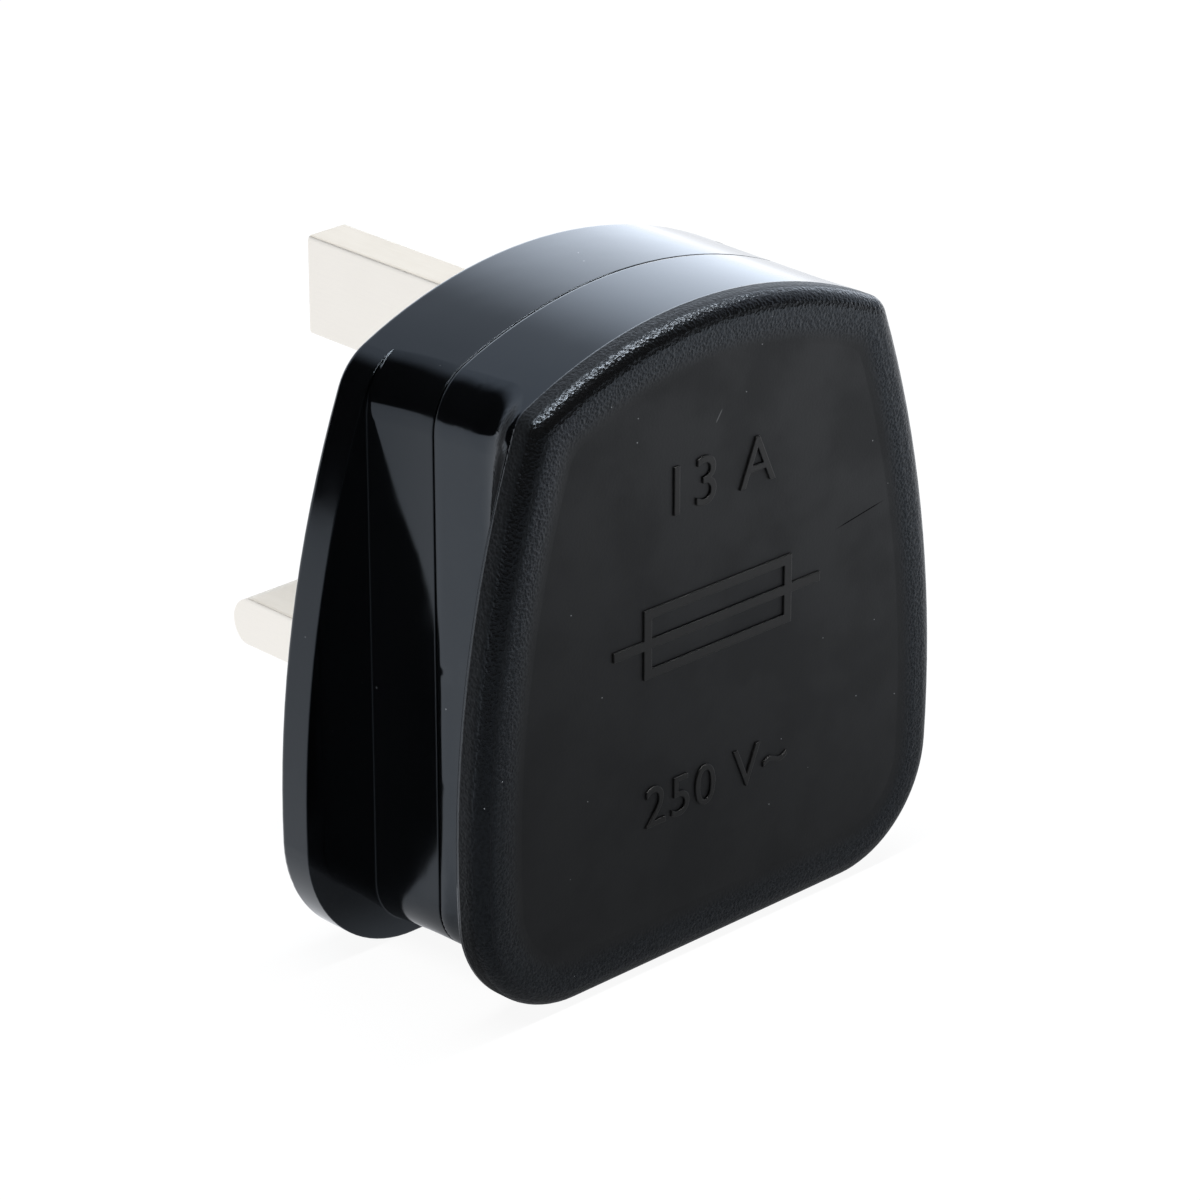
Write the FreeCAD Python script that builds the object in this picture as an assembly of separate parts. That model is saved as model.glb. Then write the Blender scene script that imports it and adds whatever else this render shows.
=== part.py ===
import FreeCAD
import Part
import math
import os

# Rewirable fused three-pin mains plug: a two-part moulded casing round pins, fuse and cord grip.
# Frame: X across the plug, +Y out of the engagement face along the pins, +Z up towards the earth pin.
# The origin lies on the engagement face, midway between the neutral and live pins. Millimetres throughout.
# A depth is measured from the engagement face into the casing, so a depth d lies at Y = -d.

# Pins
PIN_PITCH = 22.23  # neutral pin to live pin
EARTH_RISE = 22.23  # earth pin above the line through the other two
POWER_PIN_WIDTH = 6.35
POWER_PIN_THICK = 3.97
POWER_PIN_REACH = 17.7
EARTH_PIN_WIDTH = 3.97
EARTH_PIN_HEIGHT = 7.95
EARTH_PIN_REACH = 22.73
EARTH_TIP_BEVEL = 0.3
PIN_EDGE_RADIUS = 0.4
SLEEVE_REACH = 9.5
SLEEVE_ROOT = 1.5  # depth at which a sleeve starts inside its slot
SLEEVE_WALL = 0.45

# Casing depths
FLANGE_THICK = 3.0
FLOOR_THICK = 3.0
BASE_DEPTH = 9.3
PARTING_GAP = 0.15  # shadow line between base and cover
COVER_DEPTH = 10.15
RIM_THICK = 2.6
FACE_THICK = 2.0
CASING_WALL = 2.0
CAP_DEPTH = 2.4  # the cover's flare, from where it leaves the waist to the back of the rim
CAP_TURN = 75.0  # degrees through which the flare turns outwards
CAP_WALL = 1.8
RIM_WALL = 2.2

# Casing outlines
DOME_RADIUS = 38.6
DOME_ROOM = 1.37  # between the terminals and the inside of the dome
FOOT_DROP = 18.6  # the edges that the plug stands on, below the origin
FLANGE_HALF_WIDTH = 25.18
FLANGE_WIDEST = -7.0
FLANGE_BOW = 85.0
FLANGE_SHOULDER = 5.0
FLANGE_CORNER = 10.0
FLANGE_EDGE_RADIUS = 0.5
RIM_HALF_WIDTH = 23.42
RIM_WIDEST = -5.0
RIM_BOW = 90.0
RIM_SHOULDER = 2.0
RIM_CORNER = 9.4
RIM_EDGE_RADIUS = 1.5
WAIST_ROOM = 0.56  # between the flat pins' heads and the inside of the waist
WAIST_HOLLOW = 1.2  # how much wider the waist is at the engagement face than at the parting line, each side
NECK_DRAFT = 0.28  # how much the cover's neck draws in before it flares, each side
WAIST_LIFT = 1.0  # waist's underside above the edges that the plug stands on
WAIST_SHOULDER = 5.0
WAIST_CORNER = 4.4
CAVITY_SHOULDER = 1.0
LAP_WIDTH = 1.0
LAP_DEPTH = 1.4
FIELD_BORDER = 2.2  # face border, from the rim to where the field starts to sink
FIELD_SLOPE = 1.8
FIELD_SINK = 0.15

# Terminals
HEAD_LIP = 1.3  # how far a pin's head stands out round its blade
HEAD_PLATE = 1.5
TERMINAL_RISE = 9.0
LIVE_BLOCK_WIDTH = 6.6
LIVE_BLOCK_HEIGHT = 6.6
WIRE_HOLE_RADIUS = 1.6
WIRE_HOLE_RISE = 3.3
CURB_RISE = 1.2
CURB_WALL = 0.8
TERMINAL_SCREW_RADIUS = 1.5
TERMINAL_SCREW_LENGTH = 4.0
TERMINAL_SCREW_STANDOFF = 0.4
TERMINAL_HEAD_RADIUS = 2.2
TERMINAL_HEAD_RISE = 1.4
PAD_WALL = 0.8
PAD_ROOM = 0.2

# Fuse and its clips
FUSE_LENGTH = 25.4
FUSE_CAP_RADIUS = 3.175
FUSE_CAP_LENGTH = 5.5
FUSE_CAP_WALL = 0.25
FUSE_CAP_END = 0.4
FUSE_BORE_RADIUS = 1.6
FUSE_ELEMENT_RADIUS = 0.2
FUSE_ROOM = 1.7  # between the cord grip's posts and the fuse
CLIP_THICK = 0.5
CLIP_LENGTH = 4.6
CLIP_MOUTH = 4.8
CLIP_FLAT = 0.12  # how far the cradle is flattened onto its foot
CLIP_FOOT_WIDTH = 5.0
CLIP_MARGIN = 0.4
RIVET_OFFSET = 4.6
RIVET_RADIUS = 0.9
RIVET_SINK = 1.0
RIVET_EDGE = 1.6

# Cover screw
COVER_SCREW_RISE = 9.0
COVER_SCREW_RADIUS = 1.75
COVER_SCREW_LENGTH = 12.0
COVER_SCREW_HEAD_RADIUS = 3.0
COVER_SCREW_HEAD_RISE = 1.9
COVER_SCREW_RECESS = 2.4
COVER_SCREW_ROOM = 0.25
PILLAR_RADIUS = 4.2
WASHER_RADIUS = 3.6
WASHER_THICK = 0.6
INSERT_WALL = 0.95
INSERT_LENGTH = 5.0
BOSS_WALL = 1.8

# Cord inlet and cord grip
INLET_RADIUS = 4.2
INLET_COLLAR_WALL = 1.4
INLET_COLLAR_LENGTH = 1.2
GRIP_PITCH = 14.0
GRIP_ROOM = 0.4  # between the inlet's collar and the grip
GRIP_POST_RADIUS = 2.4
GRIP_POST_RISE = 9.2
GRIP_BAR_WIDTH = 4.6
GRIP_BAR_THICK = 2.4
GRIP_CORD_RADIUS = 3.9
GRIP_SADDLE_WIDTH = 2.4
GRIP_SCREW_RADIUS = 1.4
GRIP_SCREW_LENGTH = 8.0
GRIP_HEAD_RADIUS = 2.2
GRIP_HEAD_RISE = 1.5

# Shared
SCREW_SLOT_WIDTH = 0.8
SCREW_SLOT_DEPTH = 0.7
FIT_CLEARANCE = 0.05
LAP_CLEARANCE = 0.1
CURB_CLEARANCE = 0.15
PAD_CLEARANCE = 0.2
OVERRUN = 1.0  # how far a cutter passes the surface that it opens
DOME_STEP = 0.01  # how far a cutter's dome stands off the casing's
LOFT_SECTIONS = 5  # outlines that a smooth loft passes through

# Worked out from the sizes above
FOOT = -FOOT_DROP
PIN_X = PIN_PITCH / 2
COVER_START = BASE_DEPTH + PARTING_GAP
BODY_DEPTH = COVER_START + COVER_DEPTH
RIM_BACK = BODY_DEPTH - RIM_THICK
CAP_START = RIM_BACK - CAP_DEPTH
COVE_ANGLE = math.radians(CAP_TURN)
FACE_INSIDE = BODY_DEPTH - FACE_THICK
WAIST_BOTTOM = FOOT + WAIST_LIFT
POWER_HEAD_WIDTH = POWER_PIN_WIDTH + 2 * HEAD_LIP
WAIST_HALF_WIDTH = PIN_X + POWER_HEAD_WIDTH / 2 + WAIST_ROOM + CASING_WALL  # at the parting line
INLET_DEPTH = BASE_DEPTH + PARTING_GAP / 2
COLLAR_TOP = WAIST_BOTTOM + CASING_WALL + INLET_COLLAR_LENGTH
GRIP_Z = COLLAR_TOP + GRIP_ROOM + max(GRIP_POST_RADIUS, GRIP_BAR_WIDTH / 2)
GRIP_X = GRIP_PITCH / 2
GRIP_SEAT = FLOOR_THICK + GRIP_POST_RISE
GRIP_BAR_TOP = GRIP_SEAT + GRIP_BAR_THICK
TERMINAL_TOP = FLOOR_THICK + TERMINAL_RISE
PLATE_TOP = FLOOR_THICK + HEAD_PLATE
CLIP_RADIUS = FUSE_CAP_RADIUS + FIT_CLEARANCE
FUSE_DEPTH = PLATE_TOP + CLIP_THICK - CLIP_FLAT + CLIP_RADIUS
FUSE_TUBE_RADIUS = FUSE_CAP_RADIUS - FUSE_CAP_WALL
FUSE_BOTTOM = GRIP_Z + GRIP_POST_RADIUS + FUSE_ROOM
FUSE_TOP = FUSE_BOTTOM + FUSE_LENGTH
LOWER_CLIP_Z = FUSE_BOTTOM + FUSE_CAP_LENGTH / 2
UPPER_CLIP_Z = FUSE_TOP - FUSE_CAP_LENGTH / 2
LOWER_RIVET_Z = LOWER_CLIP_Z + RIVET_OFFSET
UPPER_RIVET_Z = UPPER_CLIP_Z - RIVET_OFFSET
LIVE_BLOCK_BOTTOM = FUSE_TOP + CLIP_MARGIN
LIVE_BLOCK_Z = LIVE_BLOCK_BOTTOM + LIVE_BLOCK_HEIGHT / 2
LIVE_BLOCK_TOP = LIVE_BLOCK_BOTTOM + LIVE_BLOCK_HEIGHT
EARTH_HEAD_WIDTH = EARTH_PIN_WIDTH + 2 * HEAD_LIP
EARTH_HEAD_HEIGHT = EARTH_PIN_HEIGHT + 2 * HEAD_LIP
INSERT_RADIUS = COVER_SCREW_RADIUS + FIT_CLEARANCE + INSERT_WALL
BOSS_START = BASE_DEPTH + WASHER_THICK + PAD_CLEARANCE


def dome_over(x, z):
    """Height of the dome's top that leaves room inside it over a corner at X, Z."""
    return z + DOME_RADIUS - math.sqrt((DOME_RADIUS - CASING_WALL - DOME_ROOM) ** 2 - x**2)


DOME_TOP = max(
    dome_over(PIN_X + LIVE_BLOCK_WIDTH / 2, LIVE_BLOCK_TOP),
    dome_over(EARTH_HEAD_WIDTH / 2, EARTH_RISE + EARTH_HEAD_HEIGHT / 2),
)
CUTTER_REACH = FLANGE_HALF_WIDTH + DOME_TOP + FOOT_DROP


def at(x, depth, z):
    """Point at a depth behind the engagement face."""
    return FreeCAD.Vector(x, -depth, z)


def box(x_range, depth_range, z_range):
    """Block between pairs of X, depth and Z."""
    (x0, x1), (d0, d1), (z0, z1) = x_range, depth_range, z_range
    return Part.makeBox(x1 - x0, d1 - d0, z1 - z0, at(x0, d1, z0))


def around(centre, width):
    """Pair of coordinates a width apart about a centre."""
    return centre - width / 2, centre + width / 2


def rod(x, z, radius, d0, d1):
    """Round bar along the pins' direction, between two depths."""
    return Part.makeCylinder(radius, d1 - d0, at(x, d0, z), FreeCAD.Vector(0, -1, 0))


def upright(x, depth, radius, z0, z1):
    """Round bar along Z."""
    return Part.makeCylinder(radius, z1 - z0, at(x, depth, z0))


def rounded_bar(x, z, width, height, radius, d0, d1):
    """Bar of rounded rectangular section along the pins' direction, between two depths."""
    bar = box(around(x, width), (d0, d1), around(z, height))
    long_edges = [e for e in bar.Edges if abs(e.Vertexes[0].Y - e.Vertexes[1].Y) > (d1 - d0) / 2]
    return bar.makeFillet(radius, long_edges)


def joined(shape, extras):
    """Shape with every extra fused to it."""
    for extra in extras:
        shape = shape.fuse(extra)
    return shape.removeSplitter()


def without(shape, cutters):
    """Shape with every cutter taken out of it."""
    for cutter in cutters:
        shape = shape.cut(cutter)
    return shape.removeSplitter()


def edges_at(shape, depth):
    """Edges of a shape that lie wholly at one depth."""
    return [e for e in shape.Edges if all(abs(v.Y + depth) < FIT_CLEARANCE for v in e.Vertexes)]


def meet(centre_a, radius_a, centre_b, radius_b):
    """Upper crossing of two circles, given as (x, z) centres and radii."""
    dx, dz = centre_b[0] - centre_a[0], centre_b[1] - centre_a[1]
    span = math.hypot(dx, dz)
    along = (span**2 + radius_a**2 - radius_b**2) / (2 * span)
    across = math.sqrt(radius_a**2 - along**2)
    foot = (centre_a[0] + dx * along / span, centre_a[1] + dz * along / span)
    crossings = [(foot[0] - s * dz * across / span, foot[1] + s * dx * across / span) for s in (1, -1)]
    return max(crossings, key=lambda point: point[1])


def towards(centre, target, radius):
    """Point at a radius from a centre, on the way to a target."""
    dx, dz = target[0] - centre[0], target[1] - centre[1]
    span = math.hypot(dx, dz)
    return centre[0] + dx * radius / span, centre[1] + dz * radius / span


def between(centre, a, b, radius):
    """Point halfway along the arc from a to b about a centre."""
    return towards(centre, ((a[0] + b[0]) / 2, (a[1] + b[1]) / 2), radius)


class Outline:
    """Outline seen along the pins: a domed top, two sides and a flat bottom, with rounded corners.

    The sides are straight, or bowed outwards with radius bow and widest at height widest.
    """

    def __init__(self, top, dome, half_width, bottom, shoulder, corner, bow=None, widest=None):
        self.top = top
        self.dome = dome
        self.half_width = half_width
        self.bottom = bottom
        self.shoulder = shoulder
        self.corner = corner
        self.bow = bow
        self.widest = widest

    def inset(self, wall, shoulder):
        """Outline a wall's thickness further in, with its own shoulder radius."""
        bow = self.bow - wall if self.bow else None
        return Outline(
            self.top - wall,
            self.dome - wall,
            self.half_width - wall,
            self.bottom + wall,
            shoulder,
            self.corner - wall,
            bow,
            self.widest,
        )

    def mixed(self, other, share):
        """Outline a share of the way from this straight-sided outline to a bowed one."""

        def part_way(a, b):
            return a + share * (b - a)

        return Outline(
            part_way(self.top, other.top),
            part_way(self.dome, other.dome),
            part_way(self.half_width, other.half_width),
            part_way(self.bottom, other.bottom),
            part_way(self.shoulder, other.shoulder),
            part_way(self.corner, other.corner),
            other.bow / share if share else None,
            other.widest,
        )

    def corners(self):
        """Centres of the right shoulder and bottom corner, and where they meet the side."""
        dome_centre = (0, self.top - self.dome)
        corner_z = self.bottom + self.corner
        if self.bow is None:
            shoulder_x = self.half_width - self.shoulder
            rise = math.sqrt((self.dome - self.shoulder) ** 2 - shoulder_x**2)
            shoulder = (shoulder_x, dome_centre[1] + rise)
            corner = (self.half_width - self.corner, corner_z)
            return shoulder, corner, (self.half_width, shoulder[1]), (self.half_width, corner_z)
        side_centre = (self.half_width - self.bow, self.widest)
        shoulder = meet(dome_centre, self.dome - self.shoulder, side_centre, self.bow - self.shoulder)
        reach = math.sqrt((self.bow - self.corner) ** 2 - (corner_z - self.widest) ** 2)
        corner = (side_centre[0] + reach, corner_z)
        side_ends = [towards(side_centre, centre, self.bow) for centre in (shoulder, corner)]
        return shoulder, corner, *side_ends

    def wire(self, depth):
        """Closed wire of the outline at a depth, clockwise from the left end of the dome."""
        shoulder, corner, side_top, side_end = self.corners()
        dome_end = towards((0, self.top - self.dome), shoulder, self.dome)
        bottom_end = (corner[0], self.bottom)
        half = [
            (dome_end, between(shoulder, dome_end, side_top, self.shoulder), side_top),
            (side_top, self.side_middle(side_top, side_end), side_end),
            (side_end, between(corner, side_end, bottom_end, self.corner), bottom_end),
        ]
        mirrored = [tuple(p and (-p[0], p[1]) for p in reversed(run)) for run in reversed(half)]
        dome = (mirrored[-1][-1], (0, self.top), dome_end)
        foot = (bottom_end, None, mirrored[0][0])
        return Part.Wire([self.edge(run, depth) for run in [dome] + half + [foot] + mirrored])

    def side_middle(self, side_top, side_end):
        """Point halfway along a bowed side, or None for a straight one."""
        if self.bow is None:
            return None
        return between((self.half_width - self.bow, self.widest), side_top, side_end, self.bow)

    @staticmethod
    def edge(run, depth):
        """Arc through three points, or a line where the middle one is None."""
        start, middle, end = [point and at(point[0], depth, point[1]) for point in run]
        if middle is None:
            return Part.LineSegment(start, end).toShape()
        return Part.Arc(start, middle, end).toShape()

    def prism(self, d0, d1):
        """Solid of the outline between two depths."""
        return Part.Face(self.wire(d0)).extrude(FreeCAD.Vector(0, d0 - d1, 0))


def loft(outline_a, d0, outline_b, d1):
    """Straight-ruled solid from one outline at a depth to another."""
    return Part.makeLoft([outline_a.wire(d0), outline_b.wire(d1)], True, True)


def smooth_loft(sections):
    """Smooth solid through outlines, each given with its depth."""
    return Part.makeLoft([outline.wire(depth) for outline, depth in sections], True, False)


def steps(count):
    """Even shares from 0 to 1."""
    return [i / (count - 1) for i in range(count)]


def waist(half_width):
    """Outline of the gripped middle, a step above the dome, so that its top is the dome itself."""
    top = DOME_TOP + DOME_STEP
    return Outline(top, DOME_RADIUS, half_width, WAIST_BOTTOM, WAIST_SHOULDER, WAIST_CORNER)


FLANGE = Outline(
    DOME_TOP,
    DOME_RADIUS,
    FLANGE_HALF_WIDTH,
    FOOT,
    FLANGE_SHOULDER,
    FLANGE_CORNER,
    FLANGE_BOW,
    FLANGE_WIDEST,
)
RIM = Outline(DOME_TOP, DOME_RADIUS, RIM_HALF_WIDTH, FOOT, RIM_SHOULDER, RIM_CORNER, RIM_BOW, RIM_WIDEST)
# Where the flare meets the rim: a clearance outside it, and a step above the dome
FLARE_END = Outline(
    DOME_TOP + DOME_STEP,
    DOME_RADIUS,
    RIM_HALF_WIDTH + FIT_CLEARANCE,
    FOOT - FIT_CLEARANCE,
    RIM_SHOULDER,
    RIM_CORNER,
    RIM_BOW,
    RIM_WIDEST,
)
WAIST = waist(WAIST_HALF_WIDTH)
CAVITY = Outline(
    DOME_TOP - CASING_WALL,
    DOME_RADIUS - CASING_WALL,
    WAIST_HALF_WIDTH - CASING_WALL,
    WAIST_BOTTOM + CASING_WALL,
    CAVITY_SHOULDER,
    WAIST_CORNER - CASING_WALL,
)


def hollow_waist():
    """The waist from the engagement face to the parting line, hollowed towards the latter."""
    sections = []
    for share in steps(LOFT_SECTIONS):
        spread = WAIST_HOLLOW * (1 - share) ** 2
        sections.append((waist(WAIST_HALF_WIDTH + spread), share * BASE_DEPTH))
    return smooth_loft(sections)


def cover_core():
    """The cover's neck, drawn in from the parting line, and the cove that turns out from it to the rim."""
    neck = waist(WAIST_HALF_WIDTH - NECK_DRAFT)
    sections = []
    for share in steps(LOFT_SECTIONS)[:-1]:
        depth = COVER_START + share * (CAP_START - COVER_START)
        sections.append((waist(WAIST_HALF_WIDTH - share * NECK_DRAFT), depth))
    for share in steps(LOFT_SECTIONS):
        angle = share * COVE_ANGLE
        spread = (1 - math.cos(angle)) / (1 - math.cos(COVE_ANGLE))
        rise = math.sin(angle) / math.sin(COVE_ANGLE)
        sections.append((neck.mixed(FLARE_END, spread), CAP_START + rise * CAP_DEPTH))
    return smooth_loft(sections)


def groove(core, d0, d1):
    """What is cut from round a core to leave the finger grips."""
    span = (-CUTTER_REACH, CUTTER_REACH)
    return box(span, (d0, d1), span).cut(core)


def inlet():
    """Round way in for the cord, through the bottom on the parting plane."""
    return upright(0, INLET_DEPTH, INLET_RADIUS, FOOT - OVERRUN, COLLAR_TOP + OVERRUN)


def inlet_collar(d0, d1):
    """Half collar inside the cord inlet, between two depths."""
    radius = INLET_RADIUS + INLET_COLLAR_WALL
    collar = upright(0, INLET_DEPTH, radius, WAIST_BOTTOM + CASING_WALL - OVERRUN, COLLAR_TOP)
    span = (-CUTTER_REACH, CUTTER_REACH)
    return collar.common(box(span, (d0, d1), span))


def curb(x_range, z_range):
    """Low wall on the floor round the seat of a terminal."""
    inner = [(low - CURB_CLEARANCE, high + CURB_CLEARANCE) for low, high in (x_range, z_range)]
    outer = [(low - CURB_WALL, high + CURB_WALL) for low, high in inner]
    top = FLOOR_THICK + CURB_RISE
    wall = box(outer[0], (FLOOR_THICK - OVERRUN, top), outer[1])
    return wall.cut(box(inner[0], (FLOOR_THICK, top + OVERRUN), inner[1]))


def earth_head():
    """X and Z ranges of the earth pin's head."""
    return around(0, EARTH_HEAD_WIDTH), around(EARTH_RISE, EARTH_HEAD_HEIGHT)


def neutral_head():
    """X and Z ranges of the neutral pin's head."""
    return around(-PIN_X, POWER_HEAD_WIDTH), around(0, POWER_PIN_THICK + 2 * HEAD_LIP)


def live_head():
    """X and Z ranges of the plate on the live pin, which reaches down under the lower clip."""
    low = LOWER_CLIP_Z - CLIP_LENGTH / 2 - CLIP_MARGIN
    high = max(POWER_PIN_THICK / 2 + HEAD_LIP, LOWER_RIVET_Z + RIVET_EDGE + CLIP_MARGIN)
    return around(PIN_X, POWER_HEAD_WIDTH), (low, high)


def live_strip():
    """X and Z ranges of the live terminal, from under the upper clip to the top of its block."""
    low = UPPER_RIVET_Z - RIVET_EDGE - CLIP_MARGIN
    return around(PIN_X, LIVE_BLOCK_WIDTH), (low, LIVE_BLOCK_TOP)


def pin_slots():
    """Holes in the floor that the three pins pass through."""
    spread = 2 * FIT_CLEARANCE
    radius = PIN_EDGE_RADIUS + FIT_CLEARANCE
    depths = (-OVERRUN, FLOOR_THICK + OVERRUN)
    slots = [
        rounded_bar(x, 0, POWER_PIN_WIDTH + spread, POWER_PIN_THICK + spread, radius, *depths)
        for x in (-PIN_X, PIN_X)
    ]
    earth = rounded_bar(0, EARTH_RISE, EARTH_PIN_WIDTH + spread, EARTH_PIN_HEIGHT + spread, radius, *depths)
    return slots + [earth]


def cover_screw_way():
    """Stepped hole through the floor and pillar for the screw that holds the cover."""
    way = rod(0, COVER_SCREW_RISE, COVER_SCREW_RADIUS + COVER_SCREW_ROOM, -OVERRUN, BASE_DEPTH + OVERRUN)
    recess_radius = COVER_SCREW_HEAD_RADIUS + COVER_SCREW_ROOM
    return way.fuse(rod(0, COVER_SCREW_RISE, recess_radius, -OVERRUN, COVER_SCREW_RECESS))


def grip_saddle():
    """Ridge on the floor that the cord is pressed into, hollowed to the cord's round."""
    saddle = box(
        around(0, GRIP_PITCH - 2 * GRIP_POST_RADIUS),
        (FLOOR_THICK - OVERRUN, INLET_DEPTH - GRIP_CORD_RADIUS / 2),
        around(GRIP_Z, GRIP_SADDLE_WIDTH),
    )
    low, high = around(GRIP_Z, 2 * CUTTER_REACH)
    return saddle.cut(upright(0, INLET_DEPTH, GRIP_CORD_RADIUS, low, high))


def base():
    """Moulded base: the flange with the engagement face, the waist's rear half and every seat inside it."""
    shell = FLANGE.prism(0, BASE_DEPTH)
    shell = shell.makeFillet(FLANGE_EDGE_RADIUS, edges_at(shell, 0))
    shell = shell.cut(groove(hollow_waist(), FLANGE_THICK, BASE_DEPTH))
    shell = shell.cut(CAVITY.prism(FLOOR_THICK, BASE_DEPTH + OVERRUN))
    rebate = CAVITY.inset(-LAP_WIDTH, CAVITY_SHOULDER)
    shell = shell.cut(rebate.prism(BASE_DEPTH - LAP_DEPTH, BASE_DEPTH + OVERRUN))
    under = FLOOR_THICK - OVERRUN
    posts = [rod(x, GRIP_Z, GRIP_POST_RADIUS, under, GRIP_SEAT) for x in (-GRIP_X, GRIP_X)]
    pillar = rod(0, COVER_SCREW_RISE, PILLAR_RADIUS, under, BASE_DEPTH)
    seats = [curb(*head()) for head in (earth_head, neutral_head, live_head, live_strip)]
    collar = inlet_collar(FLOOR_THICK, BASE_DEPTH - LAP_DEPTH)
    shell = joined(shell, posts + seats + [pillar, grip_saddle(), collar])
    ways = [
        rod(x, GRIP_Z, GRIP_SCREW_RADIUS + FIT_CLEARANCE, FLOOR_THICK, GRIP_SEAT + OVERRUN)
        for x in (-GRIP_X, GRIP_X)
    ]
    return without(shell, pin_slots() + ways + [cover_screw_way(), inlet()])


def cover_shell():
    """Outside of the cover: flared from the waist to a rounded rim, hollowed to an even wall."""
    shell = RIM.prism(COVER_START, BODY_DEPTH)
    shell = shell.makeFillet(RIM_EDGE_RADIUS, edges_at(shell, BODY_DEPTH))
    shell = shell.cut(groove(cover_core(), COVER_START, RIM_BACK))
    shell = shell.cut(CAVITY.prism(COVER_START, FACE_INSIDE))
    inside = RIM.inset(RIM_WALL, CAVITY_SHOULDER)
    shell = shell.cut(loft(CAVITY, CAP_START + CAP_WALL, inside, FACE_INSIDE))
    field_edge = RIM.inset(FIELD_BORDER, RIM_SHOULDER)
    field = RIM.inset(FIELD_BORDER + FIELD_SLOPE, RIM_SHOULDER)
    return shell.cut(loft(field_edge, BODY_DEPTH, field, BODY_DEPTH - FIELD_SINK))


def tongue():
    """Lip of the cover that laps inside the base's wall and seats on its rebate."""
    lip = CAVITY.inset(LAP_CLEARANCE - LAP_WIDTH, CAVITY_SHOULDER)
    start = BASE_DEPTH - LAP_DEPTH
    ring = lip.prism(start, COVER_START + OVERRUN)
    return ring.cut(CAVITY.prism(start - OVERRUN, COVER_START + 2 * OVERRUN))


def terminal_pad(x, z):
    """Ring inside the cover that keeps a terminal down on its seat."""
    radius = TERMINAL_HEAD_RADIUS + PAD_ROOM
    start = TERMINAL_TOP + PAD_CLEARANCE
    ring = rod(x, z, radius + PAD_WALL, start, FACE_INSIDE + OVERRUN)
    return ring.cut(rod(x, z, radius, start - OVERRUN, FACE_INSIDE))


def cover():
    """Moulded cover with its lip, the boss for the threaded insert and the pads over the terminals."""
    boss_radius = INSERT_RADIUS + FIT_CLEARANCE + BOSS_WALL
    boss = rod(0, COVER_SCREW_RISE, boss_radius, BOSS_START, FACE_INSIDE + OVERRUN)
    pads = [terminal_pad(x, z) for x, z in terminal_places()]
    collar = inlet_collar(COVER_START, FACE_INSIDE)
    shell = joined(cover_shell(), [tongue(), boss, collar] + pads)
    seat = rod(
        0, COVER_SCREW_RISE, INSERT_RADIUS + FIT_CLEARANCE, BOSS_START - OVERRUN, BOSS_START + INSERT_LENGTH
    )
    tip_room = rod(
        0, COVER_SCREW_RISE, COVER_SCREW_RADIUS + COVER_SCREW_ROOM, BOSS_START, FACE_INSIDE
    )
    return without(shell, [seat, tip_room, inlet()])


def terminal_places():
    """X and Z of the earth, neutral and live terminal screws."""
    return (0, EARTH_RISE), (-PIN_X, 0), (PIN_X, LIVE_BLOCK_Z)


def power_blade(x):
    """Flat blade of the neutral or live pin with its round nose, before it is stepped for the sleeve."""
    blade = rounded_bar(
        x, 0, POWER_PIN_WIDTH, POWER_PIN_THICK, PIN_EDGE_RADIUS, -POWER_PIN_REACH, FLOOR_THICK
    )
    nose = POWER_PIN_THICK / 2
    left, right = around(x, POWER_PIN_WIDTH + 2 * OVERRUN)
    nose_depth = nose - POWER_PIN_REACH
    corners = [at(left, FLOOR_THICK, nose), at(left, nose_depth, nose)]
    corners += [at(left, nose_depth, -nose), at(left, FLOOR_THICK, -nose)]
    tip = Part.Arc(corners[1], at(left, -POWER_PIN_REACH, 0), corners[2]).toShape()
    lines = [Part.LineSegment(corners[a], corners[b]).toShape() for a, b in ((0, 1), (2, 3), (3, 0))]
    profile = Part.Wire([lines[0], tip, lines[1], lines[2]])
    return blade.common(Part.Face(profile).extrude(FreeCAD.Vector(right - left, 0, 0)))


def pin_sleeve(x):
    """Insulating sleeve, flush with the blade that it is moulded round."""
    outer = rounded_bar(
        x, 0, POWER_PIN_WIDTH, POWER_PIN_THICK, PIN_EDGE_RADIUS, -SLEEVE_REACH, SLEEVE_ROOT
    )
    width, thick = POWER_PIN_WIDTH - 2 * SLEEVE_WALL, POWER_PIN_THICK - 2 * SLEEVE_WALL
    passage = (-SLEEVE_REACH - OVERRUN, SLEEVE_ROOT + OVERRUN)
    return outer.cut(rounded_bar(x, 0, width, thick, PIN_EDGE_RADIUS, *passage))


def clamp_block(head, x, z, wire_way):
    """Terminal block on its seat, with a wire hole and the hole of its clamping screw."""
    x_range, z_range = head
    block = box(x_range, (FLOOR_THICK, TERMINAL_TOP), z_range)
    screw_hole = rod(
        x, z, TERMINAL_SCREW_RADIUS + FIT_CLEARANCE, FLOOR_THICK + WIRE_HOLE_RISE, TERMINAL_TOP + OVERRUN
    )
    return without(block, [screw_hole, wire_way])


def wire_way_up(x):
    """Wire hole that runs straight up from the cord."""
    return upright(
        x, FLOOR_THICK + WIRE_HOLE_RISE, WIRE_HOLE_RADIUS, -CUTTER_REACH, CUTTER_REACH
    )


def earth_pin():
    """Earth pin with its bevelled tip and its clamp block, in one piece."""
    blade = rounded_bar(
        0, EARTH_RISE, EARTH_PIN_WIDTH, EARTH_PIN_HEIGHT, PIN_EDGE_RADIUS, -EARTH_PIN_REACH, FLOOR_THICK
    )
    blade = blade.makeChamfer(EARTH_TIP_BEVEL, edges_at(blade, -EARTH_PIN_REACH))
    block = clamp_block(earth_head(), 0, EARTH_RISE, wire_way_up(0))
    return joined(blade, [block])


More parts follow.
